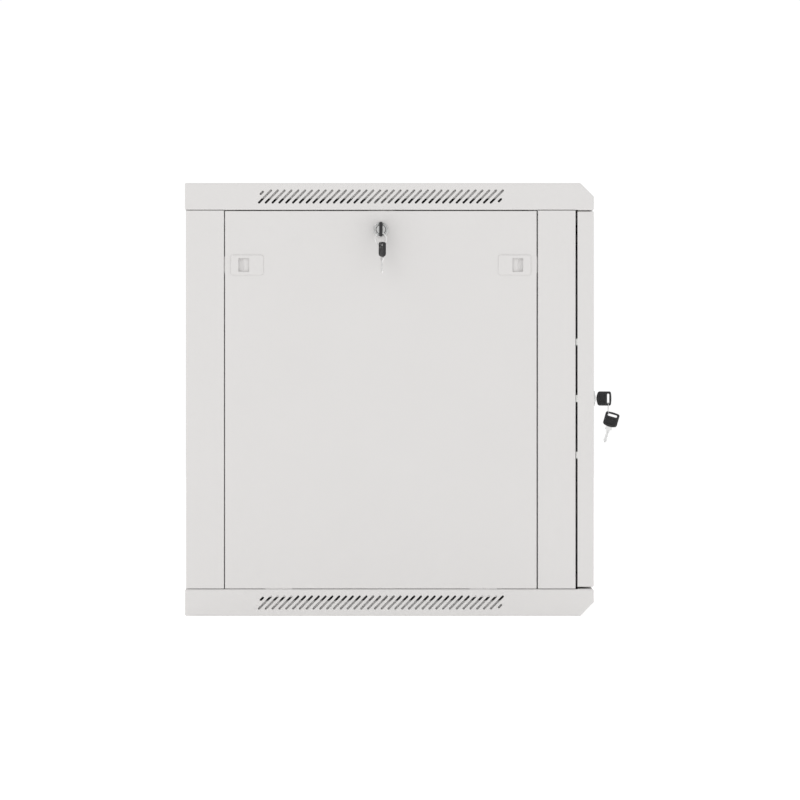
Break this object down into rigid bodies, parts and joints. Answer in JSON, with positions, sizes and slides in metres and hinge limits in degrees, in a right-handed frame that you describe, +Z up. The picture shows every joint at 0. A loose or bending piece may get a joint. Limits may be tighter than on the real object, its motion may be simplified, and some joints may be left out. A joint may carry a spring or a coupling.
{
  "type": "wall-mount network rack cabinet",
  "caption": "Wall-mount 19-inch network cabinet with a keyed glass door, tilting side panels with locks and slide latches, vented roof and floor pans, and adjustable rack rails.",
  "frame": {"origin": "centre of the base's footprint, on the underside of the floor pan", "axes": "+Z up, -Y to the front (door), +Y to the wall, +X to the right seen from the front"},
  "size_m": [0.6412, 0.6391, 0.635],
  "materials": {
    "powder_coat": "fine-textured semi-matt powder coat, light grey",
    "galvanised": "zinc-coated sheet, satin",
    "zinc_fastener": "bright zinc plate",
    "lock_chrome": "polished",
    "key_steel": "nickel-plated, satin",
    "key_plastic": "moulded, fine satin",
    "latch_plastic": "moulded, fine satin",
    "buffer_plastic": "soft matt",
    "seal_rubber": "matt",
    "nylon": "satin",
    "tinted_glass": "smoked safety glass"
  },
  "bodies": {
    "cabinet_frame": {"top_panel": "powder_coat", "bottom_panel": "powder_coat", "front_upright_left": "powder_coat", "front_upright_right": "powder_coat", "rear_upright_left": "powder_coat", "rear_upright_right": "powder_coat", "side_rails_left": "powder_coat", "side_rails_right": "powder_coat", "depth_rails_left": "powder_coat", "depth_rails_right": "powder_coat", "rear_panel": "powder_coat", "top_cable_cover": "powder_coat", "bottom_cable_cover": "powder_coat", "rear_cable_cover": "powder_coat", "frame_screws": "zinc_fastener", "cover_screws": "zinc_fastener", "ground_stud": "zinc_fastener", "hinge_pin_bottom": "zinc_fastener", "hinge_washer": "nylon"},
    "front_rack_left": {"rack_rail_front_left": "galvanised", "rack_bolts_front_left": "zinc_fastener", "cage_nuts_left": "zinc_fastener"},
    "front_rack_right": {"rack_rail_front_right": "galvanised", "rack_bolts_front_right": "zinc_fastener", "cage_nuts_right": "zinc_fastener"},
    "rear_rack_left": {"rack_rail_rear_left": "galvanised", "rack_bolts_rear_left": "zinc_fastener"},
    "rear_rack_right": {"rack_rail_rear_right": "galvanised", "rack_bolts_rear_right": "zinc_fastener"},
    "front_door": {"door_frame": "powder_coat", "door_glass": "tinted_glass", "glass_gasket": "seal_rubber", "door_buffers": "buffer_plastic", "hinge_bracket": "powder_coat", "door_lock_body": "lock_chrome", "door_lock_nut": "lock_chrome"},
    "upper_hinge_pin": {"hinge_pin_top": "zinc_fastener"},
    "door_lock": {"door_lock_cylinder": "lock_chrome", "door_key_bow": "key_plastic", "door_key_blade": "key_steel"},
    "door_ring": {"door_key_ring": "key_steel"},
    "door_spare_key": {"door_spare_bow": "key_plastic", "door_spare_blade": "key_steel"},
    "left_side_panel": {"side_panel_left": "powder_coat", "side_lock_body_left": "lock_chrome", "latch_bezels_left": "latch_plastic"},
    "left_lock": {"side_lock_cylinder_left": "lock_chrome", "side_key_bow": "key_plastic", "side_key_blade": "key_steel"},
    "left_ring": {"side_key_ring": "key_steel"},
    "left_spare_key": {"side_spare_bow": "key_plastic", "side_spare_blade": "key_steel"},
    "left_rear_latch": {"latch_rear_left": "latch_plastic"},
    "left_front_latch": {"latch_front_left": "latch_plastic"},
    "right_side_panel": {"side_panel_right": "powder_coat", "side_lock_body_right": "lock_chrome", "latch_bezels_right": "latch_plastic"},
    "right_lock": {"side_lock_cylinder_right": "lock_chrome"},
    "right_rear_latch": {"latch_rear_right": "latch_plastic"},
    "right_front_latch": {"latch_front_right": "latch_plastic"}
  },
  "joints": [
    {"name": "door_hinge", "type": "hinge", "parent": "cabinet_frame", "child": "front_door", "pos_m": [0.2915, -0.29, 0.318], "axis": [0, 0, 1], "range_deg": [0, 180]},
    {"name": "upper_hinge_pin_slide", "type": "slide", "parent": "front_door", "child": "upper_hinge_pin", "axis": [0, 0, -1], "range_m": [0, 0.008], "stiffness_N_per_m": 400, "springref_m": -0.01},
    {"name": "door_lock_turn", "type": "hinge", "parent": "front_door", "child": "door_lock", "pos_m": [-0.262, -0.3, 0.319], "axis": [0, 1, 0], "range_deg": [0, 90]},
    {"name": "door_ring_swing", "type": "hinge", "parent": "door_lock", "child": "door_ring", "pos_m": [-0.262, -0.32225, 0.31015], "axis": [0, 1, 0], "range_deg": [-10, 10]},
    {"name": "door_spare_key_swing", "type": "hinge", "parent": "door_ring", "child": "door_spare_key", "pos_m": [-0.262, -0.32225, 0.29568], "axis": [1, 0, 0], "range_deg": [-20, 12]},
    {"name": "left_panel_tilt", "type": "hinge", "parent": "cabinet_frame", "child": "left_side_panel", "pos_m": [-0.3, 0.012, 0.0402], "axis": [0, -1, 0], "range_deg": [0, 30]},
    {"name": "left_lock_turn", "type": "hinge", "parent": "left_side_panel", "child": "left_lock", "pos_m": [-0.3, 0.0125, 0.5668], "axis": [1, 0, 0], "range_deg": [0, 90]},
    {"name": "left_ring_swing", "type": "hinge", "parent": "left_lock", "child": "left_ring", "pos_m": [-0.32225, 0.0125, 0.55795], "axis": [0.9397, 0.342, 0], "range_deg": [-6, 6]},
    {"name": "left_spare_key_swing", "type": "hinge", "parent": "left_ring", "child": "left_spare_key", "pos_m": [-0.32225, 0.0125, 0.54348], "axis": [0.342, -0.9397, 0], "range_deg": [-12, 12]},
    {"name": "left_rear_latch_slide", "type": "slide", "parent": "left_side_panel", "child": "left_rear_latch", "axis": [0, -1, 0], "range_m": [0, 0.006], "stiffness_N_per_m": 300, "springref_m": -0.005},
    {"name": "left_front_latch_slide", "type": "slide", "parent": "left_side_panel", "child": "left_front_latch", "axis": [0, 1, 0], "range_m": [0, 0.006], "stiffness_N_per_m": 300, "springref_m": -0.005},
    {"name": "right_panel_tilt", "type": "hinge", "parent": "cabinet_frame", "child": "right_side_panel", "pos_m": [0.3, 0.012, 0.0402], "axis": [0, 1, 0], "range_deg": [0, 30]},
    {"name": "right_lock_turn", "type": "hinge", "parent": "right_side_panel", "child": "right_lock", "pos_m": [0.3, 0.0125, 0.5668], "axis": [1, 0, 0], "range_deg": [0, 90]},
    {"name": "right_rear_latch_slide", "type": "slide", "parent": "right_side_panel", "child": "right_rear_latch", "axis": [0, -1, 0], "range_m": [0, 0.006], "stiffness_N_per_m": 300, "springref_m": -0.005},
    {"name": "right_front_latch_slide", "type": "slide", "parent": "right_side_panel", "child": "right_front_latch", "axis": [0, 1, 0], "range_m": [0, 0.006], "stiffness_N_per_m": 300, "springref_m": -0.005},
    {"name": "front_rack_left_slide", "type": "slide", "parent": "cabinet_frame", "child": "front_rack_left", "axis": [0, 1, 0], "range_m": [0, 0.06]},
    {"name": "rear_rack_left_slide", "type": "slide", "parent": "cabinet_frame", "child": "rear_rack_left", "axis": [0, -1, 0], "range_m": [0, 0.06]},
    {"name": "front_rack_right_slide", "type": "slide", "parent": "cabinet_frame", "child": "front_rack_right", "axis": [0, 1, 0], "range_m": [0, 0.06]},
    {"name": "rear_rack_right_slide", "type": "slide", "parent": "cabinet_frame", "child": "rear_rack_right", "axis": [0, -1, 0], "range_m": [0, 0.06]}
  ],
  "couplings": [
    {"joint": "front_rack_right_slide", "follows": "front_rack_left_slide", "ratio": 1},
    {"joint": "rear_rack_right_slide", "follows": "rear_rack_left_slide", "ratio": 1}
  ]
}
